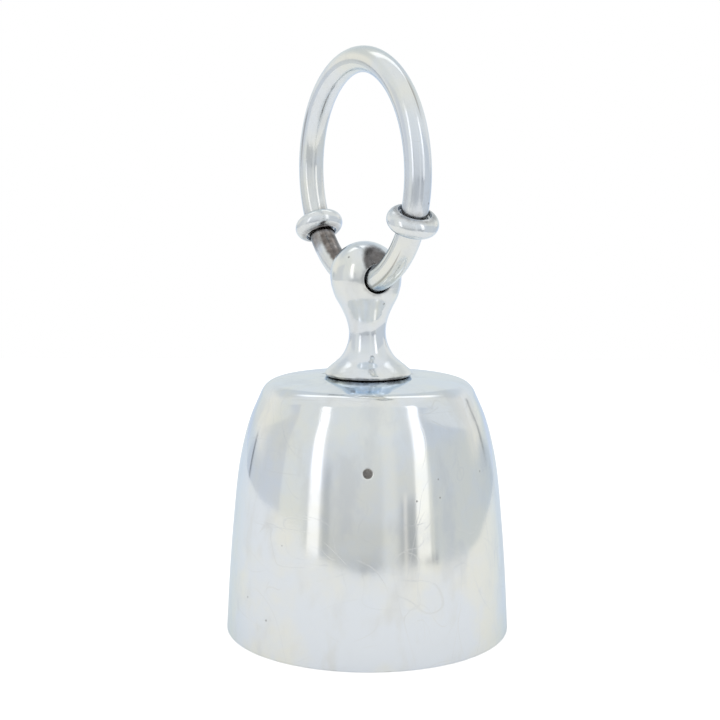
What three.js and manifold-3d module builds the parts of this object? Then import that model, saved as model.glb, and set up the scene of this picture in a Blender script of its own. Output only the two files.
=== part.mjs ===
// A polished table bell with a ring handle, standing on its rim.
// Millimetres, +Z up. The origin is the centre of the rim plane. The ring handle stands almost in
// the XZ plane, and it turns about an axis along X through the knob's cross hole.

import * as THREE from "three";
import { mergeVertices } from "three/addons/utils/BufferGeometryUtils.js";
import Module from "manifold-3d";

// ---- bell shell ----
const rimRadius = 30;
const wall = 1.5;
const rimRound = 0.35;
const rimInnerRound = 0.2;
const seatHeight = 54;
const seatRadius = 8.6;
const crownEdge = [19.3, 53.05];
const shoulderCorner = [21.35, 52.87];
const wallCurve = [
  [rimRadius, rimRound], [29.34, 12], [28.38, 24], [27.02, 36], [24.85, 45], [22.4, 50.8],
];
const crownHoleRadius = 1.8;
const shellSides = 48;

// ---- knob and stem, one piece, bent a little towards -Y above its foot ----
const footRadius = 9.3;
const footSeatRadius = 8.1;
const footEdge = [9, seatHeight + 0.35];
const knobRadius = 7.4;
const knobCentre = 74.8;
const stemCurve = [
  [footRadius, 54.66], [8.95, 55.15], [7.7, 56.28], [5.65, 58.02], [4.3, 60.45],
  [3.82, 63], [4.22, 65.7], [5.2, 68.15], [6.55, 70.75], [7.22, 72.95],
];
const leanStart = 56;
const knobShift = -0.65;
const leanSlope = knobShift / (knobCentre - leanStart);
const crossHoleRadius = 3.2;
const crossHoleShift = -1.5;
const crossHoleHeight = 74.8;
// The knob is hollowed where the hole crosses it, so that the curved wire can turn inside.
const hollowRadius = 3.85;
const hollowHalfLength = 4.9;
const hollowTaper = 0.7;
const stemBoreRadius = 1.75;
const stemBoreTop = 65;
const stemSides = 40;

// ---- ring handle ----
const ringRadius = 22.6;
const wireRadius = 2.65;
const ringCentre = 96.5;
const ringTurn = degrees(3.2);
const ringLean = degrees(1);
const collarAngle = degrees(28.25);
const collarRadius = 5.2;
const collarRound = 2.05;
const collarMouth = degrees(84);
const collarBoreRadius = wireRadius + 0.2;
const collarRecess = 0.9;
const collarLipDepth = 0.2;
const collarLipWidth = 0.05;
const collarFloorWidth = 0.2;
const jointGap = 0.3;
const wireSides = 6;

// ---- fixing inside the crown ----
const washerRadius = 4.2;
const washerThickness = 0.8;
const nutAcrossFlats = 5.5;
const nutHeight = 2.4;
const boltRadius = 1.5;
const boltTop = 63.5;
const fitGap = 0.05;
const eyeRadius = 2;
const eyeWire = 0.75;
const eyeCentre = 45.6;
const weldDepth = 0.3;
const threadGap = 0.1;

// ---- clapper ----
const linkRadius = 2.8;
const linkWire = 0.65;
const hangGap = 0.15;
const rodEyeRadius = 1.9;
const rodEyeWire = 0.65;
const rodRadius = 0.9;
const ballRadius = 5.5;
const ballCentre = 8.6;
const ballBoreRadius = rodRadius + 0.15;
const rivetRadius = 1.7;
const rivetHeight = 0.9;
const rivetRecess = 0.3;
const rivetGap = 0.2;
const smallWireSteps = 24;
const smallWireSides = 8;
const roundSides = 20;

const silver = { color: 0xdcdfe2, roughness: 0.12, metalness: 1 };
const agedSilver = { color: 0xc9c8c4, roughness: 0.25, metalness: 1 };
const steel = { color: 0x9a9890, roughness: 0.35, metalness: 1 };

const wasm = await Module();
wasm.setup();

const bell = new THREE.Group();
bell.name = "table_bell";

function degrees(angle) {
  return (angle * Math.PI) / 180;
}

function add(parent, name, geometry, look) {
  const mesh = new THREE.Mesh(geometry, new THREE.MeshStandardMaterial(look));
  mesh.name = name;
  parent.add(mesh);
  return mesh;
}

// A smooth curve through [radius, height] points, with a number of steps between neighbours.
function smooth(points, steps) {
  const through = points.map(([radius, height]) => new THREE.Vector3(radius, 0, height));
  const curve = new THREE.CatmullRomCurve3(through, false, "centripetal");
  return curve.getPoints(steps * (points.length - 1)).map((point) => [point.x, point.z]);
}

function arc(centreRadius, centreHeight, radius, from, to, steps) {
  return Array.from({ length: steps + 1 }, (_, index) => {
    const angle = from + ((to - from) * index) / steps;
    return [centreRadius + radius * Math.cos(angle), centreHeight + radius * Math.sin(angle)];
  });
}

function bend(start, corner, end, steps) {
  const curve = new THREE.QuadraticBezierCurve(
    new THREE.Vector2(...start),
    new THREE.Vector2(...corner),
    new THREE.Vector2(...end),
  );
  return curve.getPoints(steps).map((point) => [point.x, point.y]);
}

// The same outline moved inwards, square to itself, by a wall thickness.
function inset(outline, distance) {
  return outline.map(([radius, height], index) => {
    const [r0, z0] = outline[Math.max(index - 1, 0)];
    const [r1, z1] = outline[Math.min(index + 1, outline.length - 1)];
    const length = Math.hypot(r1 - r0, z1 - z0);
    return [radius - (distance * (z1 - z0)) / length, height + (distance * (r1 - r0)) / length];
  });
}

// Turns an outline of [radius, height] points, given anticlockwise, about +Z.
function turned(outline, segments) {
  const points = outline.map(([radius, height]) => new THREE.Vector2(radius, height));
  const geometry = new THREE.LatheGeometry(points, segments);
  geometry.rotateX(Math.PI / 2);
  return geometry;
}

function closed(outline) {
  return [...outline, outline[0]];
}

function solid(geometry) {
  const plain = geometry.index ? geometry.clone() : mergeVertices(geometry);
  plain.deleteAttribute("normal");
  plain.deleteAttribute("uv");
  const merged = mergeVertices(plain, 1e-5);
  const vertices = merged.attributes.position.array;
  const triangles = [];
  for (let index = 0; index < merged.index.count; index += 3) {
    const corners = [0, 1, 2].map((corner) => merged.index.getX(index + corner));
    if (new Set(corners).size === 3) triangles.push(...corners);
  }
  const vertProperties = new Float32Array(vertices);
  const triVerts = new Uint32Array(triangles);
  return new wasm.Manifold(new wasm.Mesh({ numProp: 3, vertProperties, triVerts }));
}

function geometryOf(manifold) {
  const mesh = manifold.getMesh();
  const geometry = new THREE.BufferGeometry();
  geometry.setAttribute("position", new THREE.BufferAttribute(new Float32Array(mesh.vertProperties), 3));
  geometry.setIndex(new THREE.BufferAttribute(new Uint32Array(mesh.triVerts), 1));
  return geometry;
}

// Shifts each level of a geometry towards -Y in proportion to its height above leanStart.
function leaned(geometry) {
  const places = geometry.attributes.position;
  for (let index = 0; index < places.count; index += 1) {
    const above = Math.max(0, places.getZ(index) - leanStart);
    places.setY(index, places.getY(index) + leanSlope * above);
  }
  return geometry;
}

// A round wire bent along an arc of the XZ plane, about the origin.
class RingArc extends THREE.Curve {
  constructor(radius, from, to) {
    super();
    this.radius = radius;
    this.from = from;
    this.to = to;
  }
  getPoint(share) {
    const angle = this.from + (this.to - this.from) * share;
    return new THREE.Vector3(this.radius * Math.cos(angle), 0, this.radius * Math.sin(angle));
  }
}

function bentWire(radius, wire, from, to, steps, sides) {
  const section = new THREE.Shape();
  section.absarc(0, 0, wire, 0, 2 * Math.PI);
  return new THREE.ExtrudeGeometry(section, {
    steps,
    curveSegments: sides,
    extrudePath: new RingArc(radius, from, to),
  });
}

// A closed wire ring about the Y axis.
function wireRing(radius, wire, steps, sides) {
  const geometry = new THREE.TorusGeometry(radius, wire, sides, steps);
  geometry.rotateX(Math.PI / 2);
  return geometry;
}

function rod(radius, low, high, sides) {
  return turned([[0, low], [radius, low], [radius, high], [0, high]], sides);
}

function bellShell() {
  const side = smooth(wallCurve, 2);
  const shoulder = bend(wallCurve.at(-1), shoulderCorner, crownEdge, 4).slice(1);
  const crown = [[seatRadius, seatHeight]];
  const outside = [...side, ...shoulder, ...crown];
  const inside = inset(outside, wall).reverse();
  const innerSeat = seatHeight - wall;
  const rim = [[rimRadius - wall + rimInnerRound, 0], [rimRadius - rimRound, 0]];
  return turned(closed([
    ...rim,
    ...outside,
    [crownHoleRadius, seatHeight],
    [crownHoleRadius, innerSeat],
    [seatRadius, innerSeat],
    ...inside.slice(1),
  ]), shellSides);
}

// The cutter for the cross hole: narrow at both mouths and wider in the middle of the knob.
function crossHole() {
  const beyond = knobRadius + 2;
  const narrow = hollowHalfLength + hollowTaper;
  const hole = turned([
    [0, -beyond],
    [crossHoleRadius, -beyond],
    [crossHoleRadius, -narrow],
    [hollowRadius, -hollowHalfLength],
    [hollowRadius, hollowHalfLength],
    [crossHoleRadius, narrow],
    [crossHoleRadius, beyond],
    [0, beyond],
  ], 28);
  hole.rotateY(Math.PI / 2);
  hole.translate(0, crossHoleShift, crossHoleHeight);
  return hole;
}

function knobStem() {
  const knobTop = arc(0, knobCentre, knobRadius, degrees(-6), degrees(90), 8);
  knobTop.at(-1)[0] = 0;
  const outline = [
    [0, seatHeight],
    [footSeatRadius, seatHeight],
    footEdge,
    ...smooth(stemCurve, 2),
    ...knobTop,
  ];
  const bore = rod(stemBoreRadius, seatHeight - 1, stemBoreTop, roundSides);
  const bar = solid(leaned(turned(outline, stemSides)));
  return geometryOf(bar.subtract(solid(crossHole())).subtract(solid(bore)));
}

// The ring's own frame: its centre at the origin, its plane XZ, before it is turned in that plane.
const rightCollar = -collarAngle;
const leftCollar = Math.PI + collarAngle;
const halfGap = jointGap / 2 / ringRadius;

// A rounded bead on the wire, with a dished mouth at each end of its bore.
function collarGeometry() {
  const core = collarRadius - collarRound;
  const mouth = core + collarRound * Math.cos(collarMouth);
  const floor = collarRound - collarRecess;
  const lip = collarRound - collarLipDepth;
  const wallRadius = mouth - collarLipWidth;
  const floorRadius = wallRadius - collarFloorWidth;
  return turned(closed([
    [collarBoreRadius, -floor],
    [floorRadius, -floor],
    [wallRadius, -lip],
    ...arc(core, 0, collarRound, -collarMouth, collarMouth, 9),
    [wallRadius, lip],
    [floorRadius, floor],
    [collarBoreRadius, floor],
  ]), 24);
}

function addRing() {
  const hinge = new THREE.Group();
  hinge.position.set(0, crossHoleShift, crossHoleHeight);
  hinge.rotation.x = ringLean;
  bell.add(hinge);
  const ring = new THREE.Group();
  ring.position.z = ringCentre - crossHoleHeight;
  ring.rotation.y = -ringTurn;
  hinge.add(ring);
  const bowStart = rightCollar + halfGap;
  const bowEnd = leftCollar - halfGap;
  const shankStart = leftCollar + halfGap;
  const shankEnd = rightCollar + 2 * Math.PI - halfGap;
  const bow = bentWire(ringRadius, wireRadius, bowStart, bowEnd, 36, wireSides);
  const shank = bentWire(ringRadius, wireRadius, shankStart, shankEnd, 16, wireSides);
  add(ring, "ring_bow", bow, silver);
  add(ring, "ring_shank", shank, silver);
  const places = { collar_right: rightCollar, collar_left: leftCollar };
  for (const [name, angle] of Object.entries(places)) {
    const collar = add(ring, name, collarGeometry(), agedSilver);
    collar.position.set(ringRadius * Math.cos(angle), 0, ringRadius * Math.sin(angle));
    collar.rotation.y = -angle;
  }
}

function addFixing() {
  const washerTop = seatHeight - wall - fitGap;
  const washer = turned(closed([
    [crownHoleRadius, washerTop - washerThickness],
    [washerRadius, washerTop - washerThickness],
    [washerRadius, washerTop],
    [crownHoleRadius, washerTop],
  ]), 28);
  add(bell, "crown_washer", washer, agedSilver);

  const nutTop = washerTop - washerThickness - fitGap;
  const nutOutline = new THREE.Shape(
    Array.from({ length: 6 }, (_, corner) => {
      const angle = (corner * Math.PI) / 3;
      const radius = nutAcrossFlats / Math.sqrt(3);
      return new THREE.Vector2(radius * Math.cos(angle), radius * Math.sin(angle));
    }),
  );
  const threadHole = new THREE.Path();
  threadHole.absarc(0, 0, boltRadius + threadGap, 0, 2 * Math.PI, true);
  nutOutline.holes.push(threadHole);
  const nut = new THREE.ExtrudeGeometry(nutOutline, {
    depth: nutHeight,
    bevelEnabled: false,
    curveSegments: roundSides,
  });
  nut.translate(0, 0, nutTop - nutHeight);
  add(bell, "crown_nut", nut, steel);

  const eye = wireRing(eyeRadius, eyeWire, smallWireSteps, smallWireSides);
  eye.translate(0, 0, eyeCentre);
  const stud = rod(boltRadius, eyeCentre + eyeRadius - weldDepth, boltTop, roundSides);
  add(bell, "eye_bolt", geometryOf(solid(eye).add(solid(stud))), steel);
}

function addClapper() {
  const eyeBottom = eyeCentre - eyeRadius;
  const linkTop = eyeBottom + eyeWire + linkWire + hangGap;
  const link = wireRing(linkRadius, linkWire, smallWireSteps, smallWireSides);
  link.rotateZ(Math.PI / 2);
  link.translate(0, 0, linkTop - linkRadius);
  add(bell, "clapper_link", link, steel);

  const linkBottom = linkTop - 2 * linkRadius;
  const rodEyeTop = linkBottom + linkWire + rodEyeWire + hangGap;
  const rodEyeCentre = rodEyeTop - rodEyeRadius;
  const rodEye = wireRing(rodEyeRadius, rodEyeWire, smallWireSteps, smallWireSides);
  rodEye.translate(0, 0, rodEyeCentre);
  const rivetBottom = ballCentre - ballRadius + rivetRecess;
  const rivetTop = rivetBottom + rivetHeight;
  const rodTop = rodEyeCentre - rodEyeRadius + weldDepth;
  const head = bend([0, rivetBottom], [rivetRadius, rivetBottom], [rivetRadius, rivetTop - weldDepth], 4);
  const shaft = turned([
    ...head,
    [rivetRadius, rivetTop],
    [rodRadius, rivetTop],
    [rodRadius, rodTop],
    [0, rodTop],
  ], roundSides);
  add(bell, "clapper_rod", geometryOf(solid(rodEye).add(solid(shaft))), steel);

  const ballTop = arc(0, 0, ballRadius, degrees(-90), degrees(90), 11);
  ballTop[0][0] = 0;
  ballTop.at(-1)[0] = 0;
  const below = -ballRadius - 1;
  const bore = rod(ballBoreRadius, below, ballRadius + 1, roundSides);
  const seatTop = -ballRadius + rivetRecess + rivetHeight + fitGap;
  const rivetSeat = rod(rivetRadius + rivetGap, below, seatTop, roundSides);
  const ball = solid(turned(ballTop, 24)).subtract(solid(bore)).subtract(solid(rivetSeat));
  const ballGeometry = geometryOf(ball);
  ballGeometry.translate(0, 0, ballCentre);
  add(bell, "clapper_ball", ballGeometry, agedSilver);
}

add(bell, "bell_body", bellShell(), silver);
add(bell, "knob_stem", knobStem(), silver);
addRing();
addFixing();
addClapper();

export default bell;
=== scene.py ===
"""A polished table bell with a ring handle, on a white table in a soft studio."""

import math

import bmesh
import bpy
from mathutils import Matrix, Vector


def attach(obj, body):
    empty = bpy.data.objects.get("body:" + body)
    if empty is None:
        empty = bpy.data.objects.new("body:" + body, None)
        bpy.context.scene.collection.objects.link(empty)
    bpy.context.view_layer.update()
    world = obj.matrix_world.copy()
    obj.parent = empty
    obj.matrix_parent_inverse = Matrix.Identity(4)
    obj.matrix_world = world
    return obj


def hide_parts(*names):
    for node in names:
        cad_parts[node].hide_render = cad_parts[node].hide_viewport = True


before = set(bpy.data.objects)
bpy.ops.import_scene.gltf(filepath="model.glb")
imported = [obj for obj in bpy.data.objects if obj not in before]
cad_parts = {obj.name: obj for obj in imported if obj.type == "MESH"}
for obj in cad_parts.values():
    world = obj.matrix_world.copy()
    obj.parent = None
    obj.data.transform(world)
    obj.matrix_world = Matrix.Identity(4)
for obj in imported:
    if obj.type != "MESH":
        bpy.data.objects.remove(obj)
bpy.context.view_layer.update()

MM = 0.001

# ---- bell shell, as in the CAD ----
RIM_RADIUS = 30
WALL = 1.5
RIM_ROUND = 0.35
RIM_INNER_ROUND = 0.2
SEAT_HEIGHT = 54
SEAT_RADIUS = 8.6
CROWN_EDGE = (19.3, 53.05)
SHOULDER_CORNER = (21.35, 52.87)
WALL_CURVE = [
    (RIM_RADIUS, RIM_ROUND), (29.34, 12), (28.38, 24), (27.02, 36), (24.85, 45), (22.4, 50.8),
]
CROWN_HOLE_RADIUS = 1.8

# ---- knob and stem, bent a little towards -Y above the foot ----
FOOT_RADIUS = 9.3
FOOT_SEAT_RADIUS = 8.1
FOOT_EDGE = (9, SEAT_HEIGHT + 0.35)
KNOB_RADIUS = 7.4
KNOB_CENTRE = 74.8
# The stem's side up to the ball of the knob.
STEM_CURVE = [
    (FOOT_RADIUS, 54.66), (8.95, 55.15), (7.7, 56.28), (5.65, 58.02), (4.3, 60.45),
    (3.82, 63), (4.22, 65.7), (5.2, 68.15), (6.55, 70.75), (7.22, 72.95),
]
LEAN_START = 56
KNOB_SHIFT = -0.65
LEAN_SLOPE = KNOB_SHIFT / (KNOB_CENTRE - LEAN_START)
# The cross hole is a little tighter than the CAD's, so that less of it shows beside the wire.
CROSS_HOLE_RADIUS = 3.06
CROSS_HOLE_SHIFT = -1.5
CROSS_HOLE_HEIGHT = 74.8
CROSS_HOLE_ROUND = 0.12
HOLLOW_RADIUS = 3.85
HOLLOW_HALF_LENGTH = 4.9
HOLLOW_TAPER = 0.7
STEM_BORE_RADIUS = 1.75
STEM_BORE_TOP = 65

# ---- ring handle ----
RING_RADIUS = 22.6
WIRE_RADIUS = 2.65
RING_CENTRE = 96.5
RING_TURN = math.radians(3.2)
RING_LEAN = math.radians(1)
COLLAR_ANGLE = math.radians(28.25)
COLLAR_RADIUS = 5.2
COLLAR_ROUND = 2.05
COLLAR_MOUTH = math.radians(84)
COLLAR_BORE_RADIUS = WIRE_RADIUS + 0.2
COLLAR_RECESS = 0.9
COLLAR_LIP_DEPTH = 0.2
COLLAR_LIP_WIDTH = 0.05
COLLAR_FLOOR_WIDTH = 0.2
JOINT_GAP = 0.3

# ---- fixing and clapper ----
WASHER_RADIUS = 4.2
WASHER_THICKNESS = 0.8
WASHER_ROUND = 0.12
NUT_SIDES = 6
NUT_ACROSS_FLATS = 5.5
NUT_HEIGHT = 2.4
NUT_CHAMFER = 0.25
NUT_TURNED = NUT_ACROSS_FLATS / 2 - 0.1
NUT_TURNED_SLOPE = math.radians(30)
BOLT_RADIUS = 1.5
BOLT_TOP = 63.5
BOLT_CHAMFER = 0.25
BOLT_PLAIN_RADIUS = BOLT_RADIUS - 0.02
BOLT_PLAIN_LENGTH = 1.0
THREAD_PITCH = 0.5
THREAD_DEPTH = 0.16
THREAD_CREST = (0.45, 0.55)
THREAD_GAP = 0.1
FIT_GAP = 0.05
EYE_RADIUS = 2
EYE_WIRE = 0.75
EYE_CENTRE = 45.6
WELD_DEPTH = 0.3
LINK_RADIUS = 2.8
LINK_WIRE = 0.65
HANG_GAP = 0.15
ROD_EYE_RADIUS = 1.9
ROD_EYE_WIRE = 0.65
ROD_RADIUS = 0.9
BALL_RADIUS = 5.5
BALL_CENTRE = 8.6
BALL_BORE_RADIUS = ROD_RADIUS + 0.15
RIVET_RADIUS = 1.7
RIVET_HEIGHT = 0.9
RIVET_RECESS = 0.3
RIVET_GAP = 0.2

# ---- the plain round punch mark on the bell's side ----
DIMPLE_HEIGHT = 38.7
DIMPLE_RADIUS = 1.1
DIMPLE_DEPTH = 0.22
DIMPLE_LEAN = math.radians(9)

# ---- camera ----
VIEW_AZIMUTH = math.radians(60.8)
VIEW_DISTANCE = 291.7
VIEW_HEIGHT = 97.1
VIEW_PITCH = math.radians(7.78)
VIEW_YAW = math.radians(0.34)
VIEW_ROLL = math.radians(0.2)
LENS = 70.15
SENSOR = 36

TO_CAMERA = Vector((math.sin(VIEW_AZIMUTH), -math.cos(VIEW_AZIMUTH), 0))
TO_RIGHT = Vector((math.cos(VIEW_AZIMUTH), math.sin(VIEW_AZIMUTH), 0))
UP = Vector((0, 0, 1))

# ---- meshes ----
TURN_STEPS = 288
CRISP_EDGE = math.radians(32)
MERGE_DISTANCE = 1e-8
TINY = 1e-6
# How far a cutter reaches past the piece that it cuts.
BEYOND = 1

FULL_TURN = 2 * math.pi
QUARTER_TURN = math.pi / 2


# ======== outlines, in millimetres, as (radius, height) ========


def smooth(points, steps):
    """The centripetal Catmull-Rom curve through the points, as three.js draws it."""
    through = [Vector(point) for point in points]
    through = [2 * through[0] - through[1], *through, 2 * through[-1] - through[-2]]
    outline = []
    for before, start, end, after in zip(through, through[1:], through[2:], through[3:]):
        pairs = ((before, start), (start, end), (end, after))
        gap_in, gap, gap_out = ((far - near).length ** 0.5 for near, far in pairs)
        slope_in = ((start - before) / gap_in - (end - before) / (gap_in + gap) + (end - start) / gap) * gap
        slope_out = ((end - start) / gap - (after - start) / (gap + gap_out) + (after - end) / gap_out) * gap
        square = 3 * (end - start) - 2 * slope_in - slope_out
        cube = 2 * (start - end) + slope_in + slope_out
        for step in range(steps):
            share = step / steps
            outline.append(tuple(start + share * (slope_in + share * (square + share * cube))))
    outline.append(tuple(points[-1]))
    return outline


def arc(centre, radius, start, end, steps):
    """Points along an arc, angles in radians."""
    turns = (start + (end - start) * step / steps for step in range(steps + 1))
    return [(centre[0] + radius * math.cos(turn), centre[1] + radius * math.sin(turn)) for turn in turns]


def bend(start, corner, end, steps):
    """A quadratic Bezier curve."""
    first, middle, last = Vector(start), Vector(corner), Vector(end)
    outline = []
    for step in range(steps + 1):
        share = step / steps
        rest = 1 - share
        outline.append(tuple(rest**2 * first + 2 * share * rest * middle + share**2 * last))
    return outline


def line(start, end, steps):
    """Points along a straight stretch, without its first point."""
    first, last = Vector(start), Vector(end)
    return [tuple(first.lerp(last, step / steps)) for step in range(1, steps + 1)]


def inset(outline, distance):
    """The same outline moved inwards, square to itself."""
    moved = []
    for index, (radius, height) in enumerate(outline):
        before = Vector(outline[max(index - 1, 0)])
        along = (Vector(outline[min(index + 1, len(outline) - 1)]) - before).normalized()
        moved.append((radius - distance * along.y, height + distance * along.x))
    return moved


# ======== meshes ========


def finish_mesh(piece):
    """Merges doubles, turns the faces outwards and keeps steep edges crisp."""
    work = bmesh.new()
    work.from_mesh(piece.data)
    bmesh.ops.remove_doubles(work, verts=work.verts, dist=MERGE_DISTANCE)
    bmesh.ops.recalc_face_normals(work, faces=work.faces)
    work.to_mesh(piece.data)
    work.free()
    piece.data.shade_smooth()
    piece.data.set_sharp_from_angle(angle=CRISP_EDGE)


def make(name, vertices, faces):
    """A smooth-shaded object from vertices in millimetres."""
    mesh = bpy.data.meshes.new(name)
    mesh.from_pydata([Vector(vertex) * MM for vertex in vertices], [], faces)
    piece = bpy.data.objects.new(name, mesh)
    bpy.context.scene.collection.objects.link(piece)
    finish_mesh(piece)
    return piece


def lathe(name, outline, segments=TURN_STEPS, closed=True, place=Matrix()):
    """Turns an outline about Z. A closed outline joins its last point to its first."""
    vertices = []
    rows = []
    for radius, height in outline:
        turns = 1 if radius < TINY else segments
        rows.append([len(vertices) + turn % turns for turn in range(segments + 1)])
        for turn in range(turns):
            angle = FULL_TURN * turn / segments
            spot = Vector((radius * math.cos(angle), radius * math.sin(angle), height))
            vertices.append(place @ spot)
    pairs = list(zip(rows, rows[1:]))
    if closed:
        pairs.append((rows[-1], rows[0]))
    faces = []
    for low, high in pairs:
        for turn in range(segments):
            corners = [low[turn], low[turn + 1], high[turn + 1], high[turn]]
            corners = list(dict.fromkeys(corners))
            if len(corners) > 2:
                faces.append(corners)
    return make(name, vertices, faces)


def tube(name, radius, wire, place, start=0.0, end=FULL_TURN, steps=96, sides=32):
    """A round wire bent about Y in the XZ plane, then placed."""
    whole = abs(end - start - FULL_TURN) < TINY
    count = steps if whole else steps + 1
    vertices = []
    for step in range(count):
        along = start + (end - start) * step / steps
        for side in range(sides):
            round_angle = FULL_TURN * side / sides
            reach = radius + wire * math.cos(round_angle)
            depth = wire * math.sin(round_angle)
            spot = Vector((reach * math.cos(along), depth, reach * math.sin(along)))
            vertices.append(place @ spot)
    faces = []
    for step in range(steps):
        here = step * sides
        there = (step + 1) % count * sides
        for side in range(sides):
            after = (side + 1) % sides
            faces.append((here + side, here + after, there + after, there + side))
    if not whole:
        faces.append(tuple(range(sides)))
        faces.append(tuple(range(steps * sides, (steps + 1) * sides)))
    return make(name, vertices, faces)


def cut(piece, tool, operation="DIFFERENCE"):
    """Cuts or joins the tool into the piece and removes the tool."""
    modifier = piece.modifiers.new("cut", "BOOLEAN")
    modifier.operation = operation
    modifier.solver = "EXACT"
    modifier.object = tool
    graph = bpy.context.evaluated_depsgraph_get()
    result = bpy.data.meshes.new_from_object(piece.evaluated_get(graph))
    piece.modifiers.clear()
    piece.data = result
    bpy.data.objects.remove(tool)
    finish_mesh(piece)


def store_tarnish_and_shade(piece, rule):
    """Stores rule(point in millimetres, normal), held between 0 and 1, as each vertex's share of tarnishing
    and painted shade.
    """
    mesh = piece.data
    layer = mesh.attributes.new("tarnish_and_shade", "FLOAT", "POINT")
    values = [rule(vertex.co / MM, vertex.normal) for vertex in mesh.vertices]
    layer.data.foreach_set("value", [min(1.0, max(0.0, value)) for value in values])


def store_grain(piece, place, radius, stretch=0.04):
    """Stores coordinates that run along a bent wire, so that its drawing lines follow it."""
    mesh = piece.data
    layer = mesh.attributes.new("grain", "FLOAT_VECTOR", "POINT")
    back = place.inverted()
    values = []
    for vertex in mesh.vertices:
        spot = back @ (vertex.co / MM)
        reach = math.hypot(spot.x, spot.z)
        along = (math.atan2(-spot.x, -spot.z) + math.pi) * radius
        values += [(reach - radius) * MM, spot.y * MM, along * stretch * MM]
    layer.data.foreach_set("vector", values)


def bell_curve(value, centre, width):
    """1 at the centre, falling off on both sides."""
    return math.exp(-(((value - centre) / width) ** 2))


def between(value, low, high):
    """0 at low, 1 at high, smooth between."""
    share = min(1.0, max(0.0, (value - low) / (high - low)))
    return share * share * (3 - 2 * share)


# ======== node trees ========


class Graph:
    """Short ways to build a node tree."""

    def __init__(self, tree):
        self.tree = tree
        tree.nodes.clear()

    def node(self, kind, inputs=None, **settings):
        """A new node. Each input is another node's output or a constant."""
        node = self.tree.nodes.new(kind)
        for setting, value in settings.items():
            setattr(node, setting, value)
        for socket, value in (inputs or {}).items():
            if isinstance(value, bpy.types.NodeSocket):
                self.tree.links.new(value, node.inputs[socket])
            else:
                node.inputs[socket].default_value = value
        return node

    def calculate(self, operation, first, second=0.0):
        return self.node("ShaderNodeMath", {0: first, 1: second}, operation=operation).outputs[0]

    def add(self, first, second):
        return self.calculate("ADD", first, second)

    def times(self, first, second):
        return self.calculate("MULTIPLY", first, second)

    def most(self, first, second):
        return self.calculate("MAXIMUM", first, second)

    def ramp(self, value, low, high, start=0.0, end=1.0):
        """Goes smoothly from start at low to end at high."""
        inputs = {"Value": value, "From Min": low, "From Max": high, "To Min": start, "To Max": end}
        return self.node("ShaderNodeMapRange", inputs, interpolation_type="SMOOTHSTEP").outputs[0]

    def band(self, value, low, high, soft):
        """1 between low and high, with soft edges."""
        rise = self.ramp(value, low - soft, low + soft)
        fall = self.ramp(value, high - soft, high + soft, 1.0, 0.0)
        return self.times(rise, fall)

    def mix(self, share, first, second):
        """Mixes two colours."""
        node = self.node("ShaderNodeMix", {"Factor": share}, data_type="RGBA")
        for name, value in (("A", first), ("B", second)):
            colours = (socket for socket in node.inputs if socket.type == "RGBA")
            target = next(socket for socket in colours if socket.name == name)
            if isinstance(value, bpy.types.NodeSocket):
                self.tree.links.new(value, target)
            else:
                target.default_value = (*value, 1)
        return next(socket for socket in node.outputs if socket.type == "RGBA")

    def noise(self, vector, scale, detail, roughness=0.5):
        inputs = {"Vector": vector, "Scale": scale, "Detail": detail, "Roughness": roughness}
        return self.node("ShaderNodeTexNoise", inputs).outputs["Fac"]

    def mapped(self, vector, turn=(0, 0, 0), scale=(1, 1, 1), move=(0, 0, 0)):
        """The coordinates moved, turned and scaled."""
        inputs = {
            "Vector": vector,
            "Location": move,
            "Rotation": [math.radians(angle) for angle in turn],
            "Scale": scale,
        }
        return self.node("ShaderNodeMapping", inputs).outputs[0]

    def attribute(self, name, output="Fac"):
        return self.node("ShaderNodeAttribute", attribute_name=name).outputs[output]

    def contour(self, value, level, width):
        """A thin line where a value passes a level."""
        away = self.calculate("ABSOLUTE", self.add(value, -level))
        return self.ramp(away, 0.0, width, 1.0, 0.0)


def fine_scratches(graph, where):
    """Long curved hairlines left by hand polishing, as a mask. Each set shows only here and there."""
    total = None
    # Each set's turn in degrees, stretch, fineness, line width and place in the pattern.
    sets = [
        ((0, 0, 0), (1, 1, 1), 46, 0.0035, (0.31, 0.17, 0.05)),
        ((40, 15, 80), (1, 1, 0.35), 70, 0.0032, (0.07, 0.43, 0.29)),
        ((-55, 70, 20), (0.3, 1, 1), 62, 0.0030, (0.53, 0.11, 0.37)),
        ((75, -30, 140), (1, 0.25, 1), 88, 0.0034, (0.19, 0.61, 0.23)),
        ((20, 50, -35), (1, 1, 0.5), 110, 0.0045, (0.43, 0.27, 0.71)),
        ((-15, 35, 65), (0.4, 1, 1), 140, 0.0055, (0.37, 0.83, 0.13)),
    ]
    for turn, scale, fineness, width, move in sets:
        grain = graph.mapped(where, turn, scale, move)
        lines = graph.contour(graph.noise(grain, fineness, 0.0), 0.5, width)
        shown = graph.ramp(graph.noise(grain, 130, 1.0), 0.46, 0.58)
        lines = graph.times(lines, shown)
        total = lines if total is None else graph.most(total, lines)
    return total


def pits(graph, where, scale=330.0, size=0.05, share=0.86):
    """Small dark pits, one in some of the cells."""
    cells = graph.node("ShaderNodeTexVoronoi", {"Vector": where, "Scale": scale})
    red = graph.node("ShaderNodeSeparateColor", {0: cells.outputs["Color"]}).outputs[0]
    chosen = graph.ramp(red, share, share + 0.02)
    return graph.times(graph.ramp(cells.outputs["Distance"], size, size * 2, 1.0, 0.0), chosen)


# Factors for red, green and blue.
WARM = (1.02, 1.0, 0.93)
COOL = (0.955, 0.98, 1.03)
DIM = (0.9, 0.9, 0.9)
DEEP = (0.65, 0.65, 0.65)
PALE = (1.25, 1.25, 1.25)


def tinted(colour, factors):
    return tuple(channel * factor for channel, factor in zip(colour, factors))


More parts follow.
